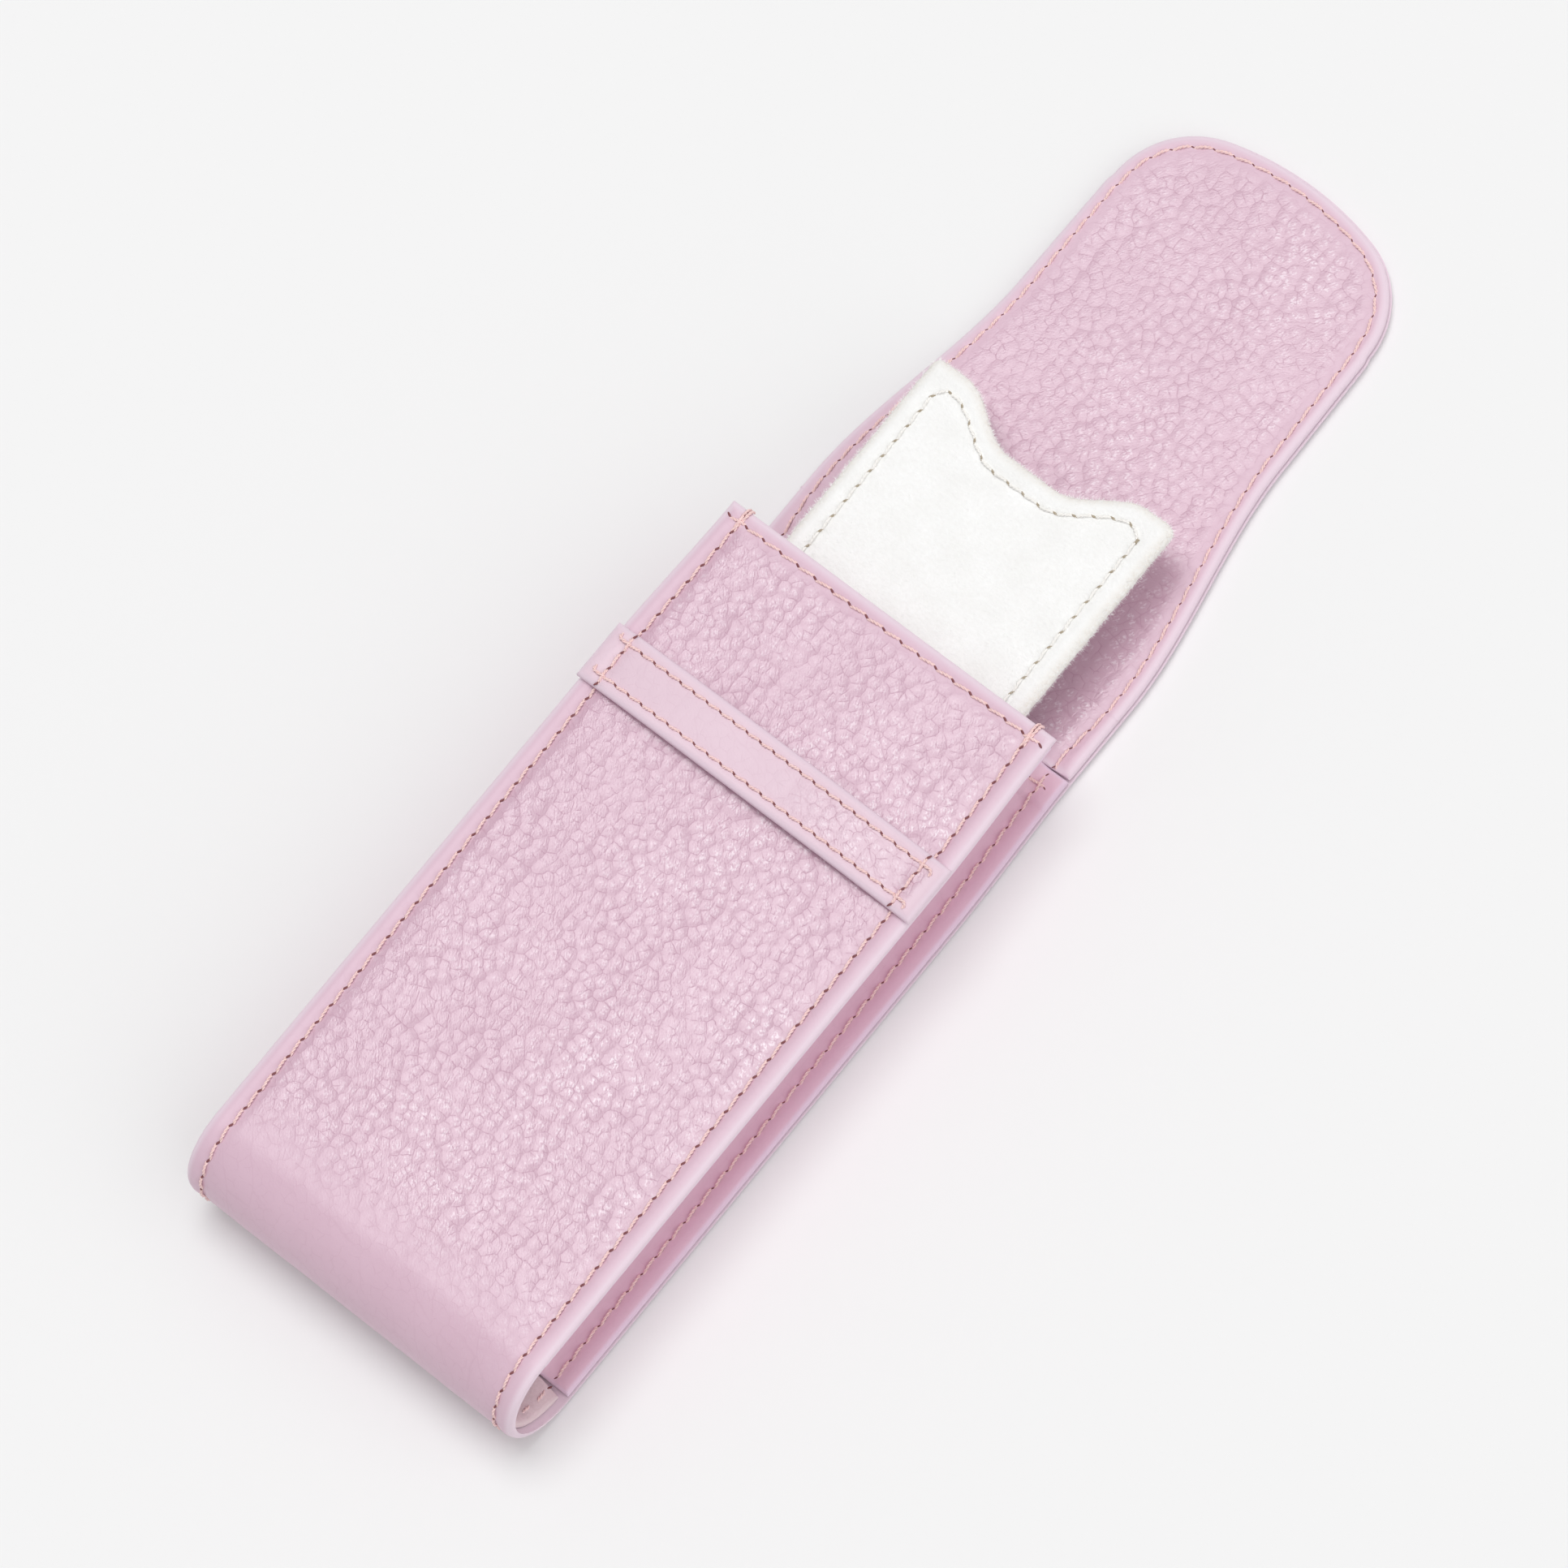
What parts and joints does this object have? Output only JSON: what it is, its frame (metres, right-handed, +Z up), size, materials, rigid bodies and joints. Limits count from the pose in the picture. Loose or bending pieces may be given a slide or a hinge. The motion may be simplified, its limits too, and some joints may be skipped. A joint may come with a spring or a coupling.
{
  "type": "watch pouch",
  "caption": "Slim leather pouch for one wristwatch, with folded side gussets, an open flap, a keeper strap and a notched suede divider.",
  "frame": {"origin": "centre of the bottom of the pouch's box, with the pouch lying on its back and the flap open", "axes": "+Y along the length from the bottom bend to the flap's tip, +Z up out of the front panel, +X across"},
  "size_m": [0.0688, 0.2364, 0.0246],
  "materials": {
    "pebbled_leather": "pale pink pebble grain, semi-gloss",
    "gusset_leather": "smooth pink leather, fine creases, satin",
    "lining_suede": "taupe suede, matte",
    "divider_suede": "off-white suede, matte",
    "board": "plain card",
    "thread": "salmon pink sewing thread"
  },
  "bodies": {
    "pouch": {"outer_wrap": "pebbled_leather", "body_lining": "lining_suede", "back_board": "board", "front_board": "board", "mouth_facing": "pebbled_leather", "left_gusset": "gusset_leather", "right_gusset": "gusset_leather", "keeper_strap": "pebbled_leather", "keeper_strap_lining": "gusset_leather"},
    "flap_bridge": {"flap_bridge_outer": "pebbled_leather", "flap_bridge_facing": "pebbled_leather"},
    "flap_tongue": {"flap_tongue_outer": "pebbled_leather", "flap_tongue_facing": "pebbled_leather"},
    "divider": {"divider_front_suede": "divider_suede", "divider_board": "board", "divider_back_suede": "divider_suede"}
  },
  "joints": [
    {"name": "flap_root_fold", "type": "hinge", "parent": "pouch", "child": "flap_bridge", "pos_m": [0, 0.01885, 0.0029], "axis": [1, 0, 0], "range_deg": [0, 90]},
    {"name": "flap_tongue_fold", "type": "hinge", "parent": "flap_bridge", "child": "flap_tongue", "pos_m": [0, 0.04105, 0.0029], "axis": [1, 0, 0], "range_deg": [0, 90]},
    {"name": "divider_slide", "type": "slide", "parent": "pouch", "child": "divider", "axis": [0, 1, 0], "range_m": [-0.073, 0]}
  ],
  "couplings": [
    {"joint": "flap_tongue_fold", "follows": "flap_root_fold", "ratio": 1},
    {"joint": "divider_slide", "follows": "flap_root_fold", "m_per_rad": -0.0464}
  ]
}
